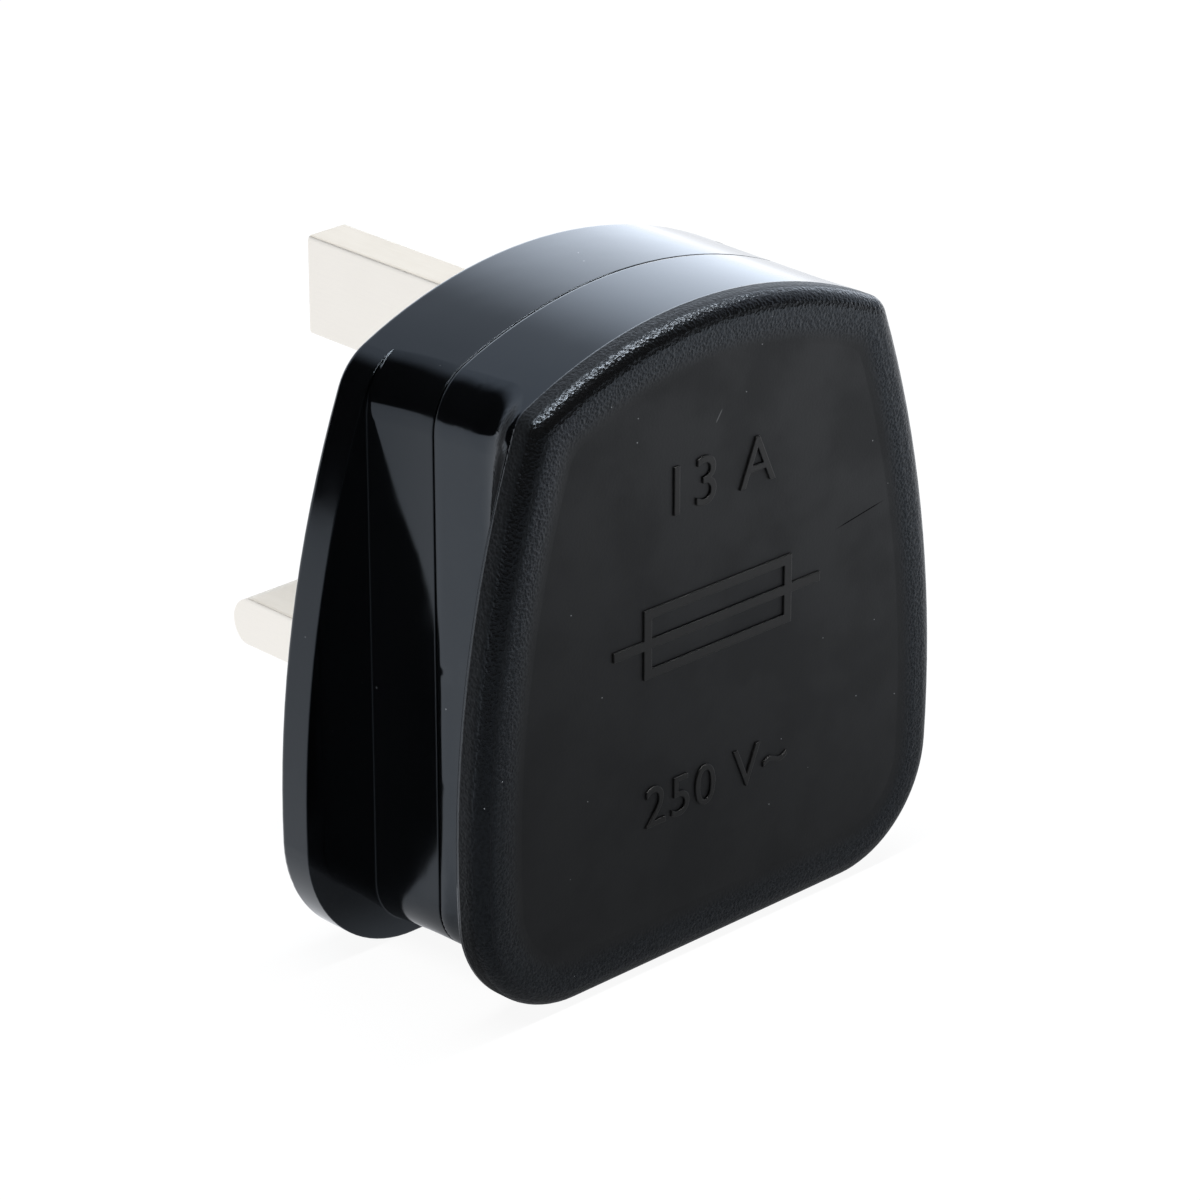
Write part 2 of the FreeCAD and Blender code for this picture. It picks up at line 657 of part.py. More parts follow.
def neutral_pin():
    """Neutral pin, stepped for its sleeve, with its clamp block in one piece."""
    block = clamp_block(neutral_head(), -PIN_X, 0, wire_way_up(-PIN_X))
    return joined(power_blade(-PIN_X).cut(pin_sleeve(-PIN_X)), [block])


def live_pin():
    """Live pin, stepped for its sleeve, with the plate that carries the lower fuse clip."""
    x_range, z_range = live_head()
    plate = box(x_range, (FLOOR_THICK, PLATE_TOP), z_range)
    plate = plate.cut(rivet(LOWER_RIVET_Z, FIT_CLEARANCE))
    return joined(power_blade(PIN_X).cut(pin_sleeve(PIN_X)), [plate])


def live_terminal():
    """Strip under the upper fuse clip that rises into the live clamp block."""
    x_range, z_range = live_strip()
    strip = box(x_range, (FLOOR_THICK, PLATE_TOP), z_range)
    strip = strip.cut(rivet(UPPER_RIVET_Z, FIT_CLEARANCE))
    wire_way = Part.makeCylinder(
        WIRE_HOLE_RADIUS,
        2 * CUTTER_REACH,
        at(-CUTTER_REACH, FLOOR_THICK + WIRE_HOLE_RISE, LIVE_BLOCK_Z),
        FreeCAD.Vector(1, 0, 0),
    )
    seat = (x_range, (LIVE_BLOCK_BOTTOM, z_range[1]))
    return joined(strip, [clamp_block(seat, PIN_X, LIVE_BLOCK_Z, wire_way)])


def rivet(z, clearance=0.0):
    """Flush rivet through a clip's foot into the plate below it."""
    return rod(PIN_X, z, RIVET_RADIUS + clearance, PLATE_TOP - RIVET_SINK, PLATE_TOP + CLIP_THICK)


def fuse_clip(z, rivet_z):
    """Sprung cradle round one fuse cap, with a riveted foot reaching towards the fuse's middle."""
    half = CLIP_LENGTH / 2
    cradle = upright(PIN_X, FUSE_DEPTH, CLIP_RADIUS + CLIP_THICK, z - half, z + half)
    foot_end = rivet_z + math.copysign(RIVET_EDGE, rivet_z - z)
    foot_far = z - math.copysign(half, rivet_z - z)
    foot_range = (min(foot_end, foot_far), max(foot_end, foot_far))
    foot = box(around(PIN_X, CLIP_FOOT_WIDTH), (PLATE_TOP, PLATE_TOP + CLIP_THICK), foot_range)
    z_span = (z - CUTTER_REACH, z + CUTTER_REACH)
    x_span = around(PIN_X, CUTTER_REACH)
    below = box(x_span, (PLATE_TOP - CUTTER_REACH, PLATE_TOP), z_span)
    mouth = box(around(PIN_X, CLIP_MOUTH), (FUSE_DEPTH, FUSE_DEPTH + CUTTER_REACH), z_span)
    hollow = upright(PIN_X, FUSE_DEPTH, CLIP_RADIUS, z_span[0], z_span[1])
    return without(cradle.fuse(foot), [below, mouth, hollow, rivet(rivet_z, FIT_CLEARANCE)])


def fuse_tube():
    """Ceramic tube of the cartridge fuse."""
    ends = (FUSE_BOTTOM + FUSE_CAP_END, FUSE_TOP - FUSE_CAP_END)
    tube = upright(PIN_X, FUSE_DEPTH, FUSE_TUBE_RADIUS, *ends)
    return tube.cut(upright(PIN_X, FUSE_DEPTH, FUSE_BORE_RADIUS, *ends))


def fuse_element():
    """Fuse wire from cap to cap inside the tube."""
    return upright(
        PIN_X, FUSE_DEPTH, FUSE_ELEMENT_RADIUS, FUSE_BOTTOM + FUSE_CAP_END, FUSE_TOP - FUSE_CAP_END
    )


def fuse_cap(end, inwards):
    """Metal cup over one end of the fuse; inwards is 1 or -1 along Z."""
    mouth = end + inwards * FUSE_CAP_LENGTH
    floor = end + inwards * FUSE_CAP_END
    cup = upright(PIN_X, FUSE_DEPTH, FUSE_CAP_RADIUS, min(end, mouth), max(end, mouth))
    return cup.cut(upright(PIN_X, FUSE_DEPTH, FUSE_TUBE_RADIUS, min(floor, mouth), max(floor, mouth)))


def slotted_screw(x, z, seat, radius, length, head_radius, head_rise):
    """Slotted screw driven from the cover side, its head resting at a depth."""
    shank = rod(x, z, radius, seat - length, seat)
    head = rod(x, z, head_radius, seat, seat + head_rise)
    top = seat + head_rise
    slot = box(
        around(x, 2 * head_radius + OVERRUN),
        (top - SCREW_SLOT_DEPTH, top + OVERRUN),
        around(z, SCREW_SLOT_WIDTH),
    )
    return without(shank.fuse(head), [slot])


def terminal_screw(x, z):
    """Clamping screw of one terminal, backed off a little from its block."""
    return slotted_screw(
        x,
        z,
        TERMINAL_TOP + TERMINAL_SCREW_STANDOFF,
        TERMINAL_SCREW_RADIUS,
        TERMINAL_SCREW_LENGTH,
        TERMINAL_HEAD_RADIUS,
        TERMINAL_HEAD_RISE,
    )


def cover_screw():
    """Screw sunk in the engagement face that draws the cover onto the base."""
    seat = COVER_SCREW_RECESS
    shank = rod(0, COVER_SCREW_RISE, COVER_SCREW_RADIUS, seat, seat + COVER_SCREW_LENGTH)
    top = seat - COVER_SCREW_HEAD_RISE
    head = rod(0, COVER_SCREW_RISE, COVER_SCREW_HEAD_RADIUS, top, seat)
    slot = box(
        around(0, 2 * COVER_SCREW_HEAD_RADIUS + OVERRUN),
        (top - OVERRUN, top + SCREW_SLOT_DEPTH),
        around(COVER_SCREW_RISE, SCREW_SLOT_WIDTH),
    )
    return without(shank.fuse(head), [slot])


def cover_screw_washer():
    """Fibre washer on the pillar that keeps the loosened screw in the base."""
    washer = rod(0, COVER_SCREW_RISE, WASHER_RADIUS, BASE_DEPTH, BASE_DEPTH + WASHER_THICK)
    hole = COVER_SCREW_RADIUS + FIT_CLEARANCE
    return washer.cut(rod(0, COVER_SCREW_RISE, hole, BASE_DEPTH, BASE_DEPTH + WASHER_THICK))


def cover_insert():
    """Threaded insert seated in the cover's boss."""
    ends = (BOSS_START, BOSS_START + INSERT_LENGTH)
    insert = rod(0, COVER_SCREW_RISE, INSERT_RADIUS, *ends)
    return insert.cut(rod(0, COVER_SCREW_RISE, COVER_SCREW_RADIUS + FIT_CLEARANCE, *ends))


def cord_grip_bar():
    """Bar across the two posts, arched over the cord."""
    bar = box(
        around(0, GRIP_PITCH + 2 * GRIP_POST_RADIUS),
        (GRIP_SEAT, GRIP_BAR_TOP),
        around(GRIP_Z, GRIP_BAR_WIDTH),
    )
    holes = [
        rod(x, GRIP_Z, GRIP_SCREW_RADIUS + FIT_CLEARANCE, GRIP_SEAT - OVERRUN, GRIP_BAR_TOP + OVERRUN)
        for x in (-GRIP_X, GRIP_X)
    ]
    arch = upright(0, INLET_DEPTH, GRIP_CORD_RADIUS, GRIP_Z - CUTTER_REACH, GRIP_Z + CUTTER_REACH)
    return without(bar, holes + [arch])


def cord_grip_screws():
    """The pair of screws that press the bar down."""
    sizes = (GRIP_SCREW_RADIUS, GRIP_SCREW_LENGTH, GRIP_HEAD_RADIUS, GRIP_HEAD_RISE)
    screws = [slotted_screw(x, GRIP_Z, GRIP_BAR_TOP, *sizes) for x in (-GRIP_X, GRIP_X)]
    return Part.makeCompound(screws)


def pieces():
    """Every piece of the plug by name."""
    earth_place, neutral_place, live_place = terminal_places()
    return {
        "base": base(),
        "cover": cover(),
        "earth_pin": earth_pin(),
        "neutral_pin": neutral_pin(),
        "live_pin": live_pin(),
        "neutral_pin_sleeve": pin_sleeve(-PIN_X),
        "live_pin_sleeve": pin_sleeve(PIN_X),
        "live_terminal": live_terminal(),
        "earth_terminal_screw": terminal_screw(*earth_place),
        "neutral_terminal_screw": terminal_screw(*neutral_place),
        "live_terminal_screw": terminal_screw(*live_place),
        "fuse_tube": fuse_tube(),
        "fuse_element": fuse_element(),
        "lower_fuse_cap": fuse_cap(FUSE_BOTTOM, 1),
        "upper_fuse_cap": fuse_cap(FUSE_TOP, -1),
        "lower_fuse_clip": fuse_clip(LOWER_CLIP_Z, LOWER_RIVET_Z),
        "upper_fuse_clip": fuse_clip(UPPER_CLIP_Z, UPPER_RIVET_Z),
        "lower_clip_rivet": rivet(LOWER_RIVET_Z),
        "upper_clip_rivet": rivet(UPPER_RIVET_Z),
        "cover_screw": cover_screw(),
        "cover_screw_washer": cover_screw_washer(),
        "cover_insert": cover_insert(),
        "cord_grip_bar": cord_grip_bar(),
        "cord_grip_screws": cord_grip_screws(),
    }


os.makedirs("parts", exist_ok=True)
for name, shape in pieces().items():
    shape.exportStep(os.path.join("parts", name + ".step"))
    print(name, len(shape.Solids), "solid", round(shape.Volume, 2), "mm3", shape.isValid())
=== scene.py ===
import logging
import math
from dataclasses import dataclass, field
from enum import Enum
from typing import Any

import bmesh
import bpy
from mathutils import Matrix, Vector


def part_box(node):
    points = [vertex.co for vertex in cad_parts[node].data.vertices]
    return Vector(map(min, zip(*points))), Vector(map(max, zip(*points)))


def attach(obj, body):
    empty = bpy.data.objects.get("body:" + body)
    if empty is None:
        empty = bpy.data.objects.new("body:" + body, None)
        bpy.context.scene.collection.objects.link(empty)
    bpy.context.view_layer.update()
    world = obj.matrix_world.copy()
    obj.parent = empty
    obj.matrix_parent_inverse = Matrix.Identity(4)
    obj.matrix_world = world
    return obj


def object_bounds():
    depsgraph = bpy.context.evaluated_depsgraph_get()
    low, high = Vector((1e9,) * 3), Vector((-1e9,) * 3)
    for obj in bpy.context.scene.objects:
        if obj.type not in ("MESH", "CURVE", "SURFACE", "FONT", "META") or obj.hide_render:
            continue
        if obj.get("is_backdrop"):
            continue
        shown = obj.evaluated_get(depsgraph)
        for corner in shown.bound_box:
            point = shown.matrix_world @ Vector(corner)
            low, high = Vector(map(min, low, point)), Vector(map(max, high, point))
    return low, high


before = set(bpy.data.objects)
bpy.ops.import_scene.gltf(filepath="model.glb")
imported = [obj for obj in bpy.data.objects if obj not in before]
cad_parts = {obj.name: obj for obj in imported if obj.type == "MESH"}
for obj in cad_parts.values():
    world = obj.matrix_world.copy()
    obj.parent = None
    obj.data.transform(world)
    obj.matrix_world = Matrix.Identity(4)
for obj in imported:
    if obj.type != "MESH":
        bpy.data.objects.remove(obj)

MM = 0.001
BODY = "root"
log = logging.getLogger("plug")

Socket = bpy.types.NodeSocket
Colour = tuple[float, float, float]
Span = tuple[float, float]

WALL_BLACK: Colour = (0.0012, 0.0013, 0.0015)
FACE_BLACK: Colour = (0.0040, 0.0040, 0.0041)
BRASS: Colour = (0.72, 0.54, 0.26)
WHITE = (1.0, 1.0, 1.0, 1.0)
GLOSS_TINT = (0.74, 0.86, 1.0, 1.0)
SATIN_TINT = (0.93, 0.96, 1.0, 1.0)
MOULDING_IOR = 1.46
MOULDING_MOTTLE: Span = (0.8, 1.25)
BEVEL_SAMPLES = 6
CELL_CORNERS = ((0, 0), (1, 0), (1, 1), (0, 1))
CELL_SIDES = ((0, -1), (1, 0), (0, 1), (-1, 0))


class ToolMarks(Enum):
    """Direction in which a metal piece was drawn or turned, as stretch along X, Y and Z."""

    ALONG_PIN = (1.0, 0.06, 1.0)
    UPRIGHT = (1.0, 1.0, 0.06)
    EVEN = (1.0, 1.0, 1.0)


def tint(colour: Colour, share: float = 1.0) -> tuple[float, float, float, float]:
    """Colour with its alpha, brightened or darkened by a share."""
    return (colour[0] * share, colour[1] * share, colour[2] * share, 1.0)


class NodeSheet:
    """Node tree of one material or world, with short calls for the nodes it uses."""

    def __init__(self, tree: bpy.types.NodeTree) -> None:
        """Empty the tree."""
        self.tree = tree
        tree.nodes.clear()

    @classmethod
    def of_material(cls, name: str) -> tuple["NodeSheet", bpy.types.Material]:
        """Make a new material.

        Args:
            name: the material's name.

        Returns:
            Its empty node sheet and the material.
        """
        material = bpy.data.materials.new(name)
        material.use_nodes = True
        return cls(material.node_tree), material

    def add(
        self, kind: str, inputs: dict[str | int, Any] | None = None, **settings: Any
    ) -> bpy.types.Node:
        """Add a node.

        Args:
            kind: the node's type without its ShaderNode prefix.
            inputs: values or sockets for its inputs, by name or number.
            settings: values for its own settings.

        Returns:
            The new node.
        """
        node = self.tree.nodes.new("ShaderNode" + kind)
        for key, value in settings.items():
            setattr(node, key, value)
        for key, value in (inputs or {}).items():
            if isinstance(value, bpy.types.NodeSocket):
                self.tree.links.new(value, node.inputs[key])
            else:
                node.inputs[key].default_value = value
        return node

    def math(self, operation: str, a: Any, b: Any = 0.0) -> Socket:
        """Join two numbers or sockets by a Math node and return its result."""
        return self.add("Math", {0: a, 1: b}, operation=operation).outputs[0]

    def dot(self, a: Socket, b: tuple[float, float, float]) -> Socket:
        """Length of a vector along a direction."""
        return self.add("VectorMath", {0: a, 1: b}, operation="DOT_PRODUCT").outputs["Value"]

    def ramp(
        self, value: Socket, start: float, end: float, low: float = 0.0, high: float = 1.0
    ) -> Socket:
        """Ease a value from low at start to high at end.

        Args:
            value: the socket to follow.
            start: where the result is low.
            end: where the result is high.
            low: result up to the start.
            high: result from the end on.

        Returns:
            The eased value.
        """
        inputs = {
            "Value": value,
            "From Min": start,
            "From Max": end,
            "To Min": low,
            "To Max": high,
        }
        return self.add("MapRange", inputs, interpolation_type="SMOOTHSTEP").outputs[0]

    def blend(self, share: Any, a: Any, b: Any) -> Socket:
        """Blend two colours by a share and return the result."""
        return self.add("Mix", {0: share, 6: a, 7: b}, data_type="RGBA").outputs[2]

    def level(self, share: Any, a: Any, b: Any) -> Socket:
        """Blend two numbers by a share and return the result."""
        return self.add("Mix", {0: share, 2: a, 3: b}, data_type="FLOAT").outputs[0]

    def mottled(self, share: Socket, colour: Colour, spread: Span = MOULDING_MOTTLE) -> Socket:
        """Vary a colour between a darker and a brighter share of itself."""
        return self.blend(share, tint(colour, spread[0]), tint(colour, spread[1]))

    def noise(self, where: Socket, size: float, detail: float, rough: float = 0.5) -> Socket:
        """Add mottling.

        Args:
            where: coordinates in metres.
            size: width of one blotch in metres.
            detail: how many finer layers it holds.
            rough: weight of the finer layers.

        Returns:
            A value of about 0.3 to 0.7.
        """
        inputs = {"Vector": where, "Scale": 1.0 / size, "Detail": detail, "Roughness": rough}
        return self.add("TexNoise", inputs).outputs["Fac"]

    def cells(self, where: Socket, size: float) -> Socket:
        """Distance from the middle of the nearest cell, as a share of a cell's size."""
        inputs = {"Vector": where, "Scale": 1.0 / size}
        return self.add("TexVoronoi", inputs).outputs["Distance"]

    def rounded(self, radius: float) -> Socket:
        """Normal that rounds the edges off by a radius."""
        return self.add("Bevel", {"Radius": radius}, samples=BEVEL_SAMPLES).outputs[0]

    def bump(
        self, height: Socket, depth: float, strength: float, normal: Socket | None = None
    ) -> Socket:
        """Turn a height into a normal.

        Args:
            height: the height, of about 0 to 1.
            depth: what a height of 1 means in metres.
            strength: how much of it shows.
            normal: the normal to start from, or none for the mesh's own.

        Returns:
            The normal.
        """
        inputs: dict[str | int, Any] = {"Strength": strength, "Distance": depth, "Height": height}
        if normal is not None:
            inputs["Normal"] = normal
        return self.add("Bump", inputs).outputs[0]

    def finish(self, shader: bpy.types.Node) -> None:
        """Join a shader to the material's output."""
        output = self.add("OutputMaterial")
        self.tree.links.new(shader.outputs[0], output.inputs["Surface"])

    def surface(self, inputs: dict[str | int, Any]) -> None:
        """Add the material's surface and join it to the output."""
        self.finish(self.add("BsdfPrincipled", inputs))


@dataclass(frozen=True)
class Specks:
    """Dust on a surface: sparse pale dots."""

    spacing: float = 2.4 * MM
    radius: float = 0.055 * MM
    core: float = 0.6
    colour: Colour = (0.30, 0.31, 0.32)

    def settle(self, sheet: NodeSheet, where: Socket, colour: Socket) -> Socket:
        """Lay the dust on a colour.

        Args:
            sheet: node sheet of the dusty material.
            where: coordinates in metres.
            colour: the bare surface's colour.

        Returns:
            The colour with the specks on it.
        """
        reach = self.radius / self.spacing
        speck = sheet.ramp(sheet.cells(where, self.spacing), reach, reach * self.core)
        return sheet.blend(speck, colour, tint(self.colour))


@dataclass(frozen=True)
class Streak:
    """Thin straight mark on the front face: a scratch, or a fibre that lies on it."""

    start: Span
    end: Span
    width: float
    colour: Colour
    shine: float
    end_fade: float = 0.5
    side_fade: float = 0.6

    def mask(self, sheet: NodeSheet, where: Socket) -> Socket:
        """Add the mark to a node sheet.

        Args:
            sheet: node sheet of the marked material.
            where: coordinates in metres.

        Returns:
            1 on the mark and 0 elsewhere.
        """
        start = Vector((self.start[0], 0.0, self.start[1]))
        end = Vector((self.end[0], 0.0, self.end[1]))
        along = (end - start).normalized()
        across = Vector((-along.z, 0.0, along.x))
        middle = tuple((start + end) / 2)
        centred = sheet.add("VectorMath", {0: where, 1: middle}, operation="SUBTRACT").outputs[0]
        half_length = (end - start).length / 2
        reaches = ((along, half_length, self.end_fade), (across, self.width / 2, self.side_fade))
        masks = []
        for axis, reach, fade in reaches:
            off = sheet.math("ABSOLUTE", sheet.dot(centred, tuple(axis)))
            masks.append(sheet.ramp(off, reach, reach * (1 - fade)))
        return sheet.math("MULTIPLY", *masks)


@dataclass(frozen=True)
class Polish:
    """Mirror-like polish of a moulding, hazier in some clouds than in others."""

    roughness: float = 0.09
    cloud: float = 6.4 * MM
    cloud_span: Span = (0.35, 0.7)
    haze: Span = (0.7, 1.6)

    def clouds(self, sheet: NodeSheet, where: Socket) -> Socket:
        """Clouds that the polish and the colour follow."""
        return sheet.noise(where, self.cloud, detail=4.0)

    def rough(self, sheet: NodeSheet, clouds: Socket) -> Socket:
        """Roughness in these clouds."""
        clear, hazy = (share * self.roughness for share in self.haze)
        return sheet.ramp(clouds, *self.cloud_span, clear, hazy)


@dataclass(frozen=True)
class MouldedGloss:
    """Polished black moulding of the base: mirror-like, faintly wavy and a little dusty."""

    name: str
    colour: Colour = WALL_BLACK
    polish: Polish = Polish()
    edge: float = 0.18 * MM
    wave: float = 3.2 * MM
    wave_height: float = 0.2 * MM
    wave_strength: float = 0.05

    def material(self) -> bpy.types.Material:
        """Build the finish.

        Returns:
            Its material.
        """
        sheet, material = NodeSheet.of_material(self.name)
        where = sheet.add("TexCoord").outputs["Object"]
        clouds = self.polish.clouds(sheet, where)
        waves = sheet.noise(where, self.wave, detail=1.0)
        edges = sheet.rounded(self.edge)
        sheet.surface({
            "Base Color": Specks().settle(sheet, where, sheet.mottled(clouds, self.colour)),
            "Roughness": self.polish.rough(sheet, clouds),
            "IOR": MOULDING_IOR,
            "Specular Tint": GLOSS_TINT,
            "Normal": sheet.bump(waves, self.wave_height, self.wave_strength, edges),
        })
        return material


@dataclass(frozen=True)
class CoverZones:
    """Masks of the cover's zones, each 1 in its zone and 0 outside it."""

    textured: Socket
    rounding: Socket
    front: Socket
    panel: Socket


@dataclass(frozen=True)
class MouldedCover:
    """Black moulding of the cover: polished walls, a spark-textured rim and a satin face.

    The places of the rim's back, the front face and its sunk panel are along Y. A facing is the
    share of the surface's normal along Y, and a shine is the level of its mirror image.
    """

    name: str
    rim_back: float
    face: float
    panel: float
    colour: Colour = WALL_BLACK
    face_colour: Colour = FACE_BLACK
    polish: Polish = Polish()
    edge: float = 0.18 * MM
    polished_edge: float = 0.16 * MM
    texture_fade: float = 0.15 * MM
    border_fade: float = 0.02 * MM
    panel_fade: float = 0.01 * MM
    cove_facing: Span = (0.12, 0.40)
    rounding_facing: Span = (-0.15, -0.40)
    front_facing: Span = (-0.90, -0.995)
    wall_shine: float = 0.66
    band_shine: float = 0.20
    rounding_shine: float = 0.36
    face_shine: float = 0.47
    pit: float = 0.24 * MM
    pit_depth: float = 0.034 * MM
    pit_heights: Span = (0.7, 1.3)
    pit_shine: Span = (0.70, 1.16)
    panel_pits: float = 0.08
    wave: float = 3.2 * MM
    wave_share: float = 0.12
    texture_rough: float = 0.50
    rounding_rough: float = 0.24
    face_rough: Span = (0.4048, 0.5244)
    smudge: float = 7.0 * MM
    smudge_span: Span = (0.36, 0.64)
    streaks: tuple[Streak, ...] = (
        Streak((12.0 * MM, 10.7 * MM), (17.6 * MM, 11.6 * MM), 0.12 * MM, (0.0005,) * 3, 0.0),
        Streak((-0.4 * MM, 22.6 * MM), (0.3 * MM, 23.6 * MM), 0.14 * MM, (0.10,) * 3, 0.5),
    )

    def zones(self, sheet: NodeSheet, where: Socket, normal: Socket) -> CoverZones:
        """Tell the zones apart by their depth and by the way they face.

        Args:
            sheet: the cover's node sheet.
            where: coordinates in metres.
            normal: the mesh's normal.

        Returns:
            The zones' masks.
        """
        depth = sheet.add("SeparateXYZ", {0: where}).outputs["Y"]
        facing = sheet.add("SeparateXYZ", {0: normal}).outputs["Y"]
        start = self.rim_back - self.polished_edge
        outside = sheet.ramp(depth, start, start - self.texture_fade)
        cove = sheet.ramp(facing, *self.cove_facing)
        front = sheet.ramp(facing, *self.front_facing)
        sunk = sheet.ramp(depth, self.face + self.border_fade, self.panel - self.panel_fade)
        return CoverZones(
            textured=sheet.math("MAXIMUM", outside, cove),
            rounding=sheet.ramp(facing, *self.rounding_facing),
            front=front,
            panel=sheet.math("MULTIPLY", front, sunk),
        )

    def pits(self, sheet: NodeSheet, where: Socket) -> Socket:
        """Height of the spark texture."""
        return sheet.math(
            "ADD", sheet.cells(where, self.pit), sheet.noise(where, self.pit, detail=2.0)
        )

    def shine(self, sheet: NodeSheet, zones: CoverZones, pits: Socket) -> Socket:
        """Set how strongly each zone mirrors.

        Args:
            sheet: the cover's node sheet.
            zones: the zones' masks.
            pits: height of the spark texture.

        Returns:
            The level of the mirror image.
        """
        rim = sheet.level(zones.rounding, self.band_shine, self.rounding_shine)
        border = sheet.level(zones.front, rim, self.face_shine)
        sparkle = sheet.ramp(pits, *self.pit_heights, *self.pit_shine)
        textured = sheet.math("MULTIPLY", border, sparkle)
        dull = sheet.level(zones.panel, textured, self.face_shine)
        return sheet.level(zones.textured, self.wall_shine, dull)

    def rough(self, sheet: NodeSheet, zones: CoverZones, where: Socket, gloss: Socket) -> Socket:
        """Set how rough each zone is.

        Args:
            sheet: the cover's node sheet.
            zones: the zones' masks.
            where: coordinates in metres.
            gloss: roughness of the polished walls.

        Returns:
            The roughness.
        """
        smudges = sheet.noise(where, self.smudge, detail=3.0, rough=0.55)
        face = sheet.ramp(smudges, *self.smudge_span, *self.face_rough)
        rim = sheet.level(zones.rounding, self.texture_rough, self.rounding_rough)
        return sheet.level(zones.textured, gloss, sheet.level(zones.panel, rim, face))

    def relief(self, sheet: NodeSheet, zones: CoverZones, where: Socket, pits: Socket) -> Socket:
        """Raise the spark texture and the polished walls' faint waves.

        Args:
            sheet: the cover's node sheet.
            zones: the zones' masks.
            where: coordinates in metres.
            pits: height of the spark texture.

        Returns:
            The normal.
        """
        fine = sheet.math("MULTIPLY", pits, sheet.level(zones.panel, 1.0, self.panel_pits))
        waves = sheet.math("MULTIPLY", sheet.noise(where, self.wave, detail=1.0), self.wave_share)
        height = sheet.level(zones.textured, waves, fine)
        return sheet.bump(height, self.pit_depth, 1.0, sheet.rounded(self.edge))

    def material(self) -> bpy.types.Material:
        """Build the finish.

        Returns:
            Its material.
        """
        sheet, material = NodeSheet.of_material(self.name)
        place = sheet.add("TexCoord").outputs
        where = place["Object"]
        zones = self.zones(sheet, where, place["Normal"])
        pits = self.pits(sheet, where)
        clouds = self.polish.clouds(sheet, where)
        wall = sheet.mottled(clouds, self.colour)
        satin = sheet.mottled(clouds, self.face_colour)
        colour = Specks().settle(sheet, where, sheet.blend(zones.textured, wall, satin))
        shine = self.shine(sheet, zones, pits)
        for streak in self.streaks:
            shown = sheet.math("MULTIPLY", zones.panel, streak.mask(sheet, where))
            colour = sheet.blend(shown, colour, tint(streak.colour))
            shine = sheet.level(shown, shine, streak.shine)
        sheet.surface({
            "Base Color": colour,
            "Roughness": self.rough(sheet, zones, where, self.polish.rough(sheet, clouds)),
            "IOR": MOULDING_IOR,
            "Specular IOR Level": shine,
            "Specular Tint": sheet.blend(zones.panel, GLOSS_TINT, SATIN_TINT),
            "Normal": self.relief(sheet, zones, where, pits),
        })
        return material


@dataclass(frozen=True)
class MouldedSatin:
    """Satin black moulding of the raised marking."""

    name: str
    colour: Colour = FACE_BLACK
    roughness: Span = (0.36, 0.44)
    edge: float = 0.12 * MM
    grain: float = 0.3 * MM
    grain_span: Span = (0.3, 0.7)
    grain_depth: float = 0.02 * MM
    grain_strength: float = 0.3

    def material(self) -> bpy.types.Material:
        """Build the finish.

        Returns:
            Its material.
        """
        sheet, material = NodeSheet.of_material(self.name)
        where = sheet.add("TexCoord").outputs["Object"]
        grain = sheet.noise(where, self.grain, detail=3.0)
        edges = sheet.rounded(self.edge)
        sheet.surface({
            "Base Color": sheet.mottled(grain, self.colour),
            "Roughness": sheet.ramp(grain, *self.grain_span, *self.roughness),
            "IOR": MOULDING_IOR,
            "Normal": sheet.bump(grain, self.grain_depth, self.grain_strength, edges),
        })
        return material


@dataclass(frozen=True)
class WorkedMetal:
    """Bare or plated metal with faint marks of drawing or turning."""

    name: str
    colour: Colour
    roughness: float = 0.3
    marks: ToolMarks = ToolMarks.EVEN
    line: float = 0.12 * MM
    line_depth: float = 0.02 * MM
    line_strength: float = 0.12
    edge: float = 0.08 * MM
    cloud: float = 2.5 * MM
    cloud_share: float = 0.3
    shade_span: Span = (0.35, 0.65)
    colour_spread: Span = (0.95, 1.04)
    rough_spread: Span = (0.92, 1.08)

    def worked(
        self, sheet: NodeSheet, normal: Socket, colour: Socket, rough: Socket
    ) -> tuple[Socket, Socket, Socket]:
        """Round the edges off.

        Args:
            sheet: the metal's node sheet.
            normal: the mesh's normal in the piece's own frame.
            colour: the metal's colour.
            rough: its roughness.

        Returns:
            The colour, the roughness and the normal of the worked piece.
        """
        return colour, rough, sheet.rounded(self.edge)

    def material(self) -> bpy.types.Material:
        """Build the finish.

        Returns:
            Its material.
        """
        sheet, material = NodeSheet.of_material(self.name)
        place = sheet.add("TexCoord").outputs
        where = place["Object"]
        stretched = sheet.add("Mapping", {"Vector": where, "Scale": self.marks.value}).outputs[0]
        drawn = sheet.noise(stretched, self.line, detail=3.0, rough=0.6)
        shade = sheet.level(self.cloud_share, drawn, sheet.noise(where, self.cloud, detail=3.0))
        smooth, coarse = (share * self.roughness for share in self.rough_spread)
        colour, rough, normal = self.worked(
            sheet,
            place["Normal"],
            sheet.mottled(shade, self.colour, self.colour_spread),
            sheet.ramp(shade, *self.shade_span, smooth, coarse),
        )
        sheet.surface({
            "Base Color": colour,
            "Metallic": 1.0,
            "Roughness": rough,
            "Normal": sheet.bump(drawn, self.line_depth, self.line_strength, normal),
        })
        return material


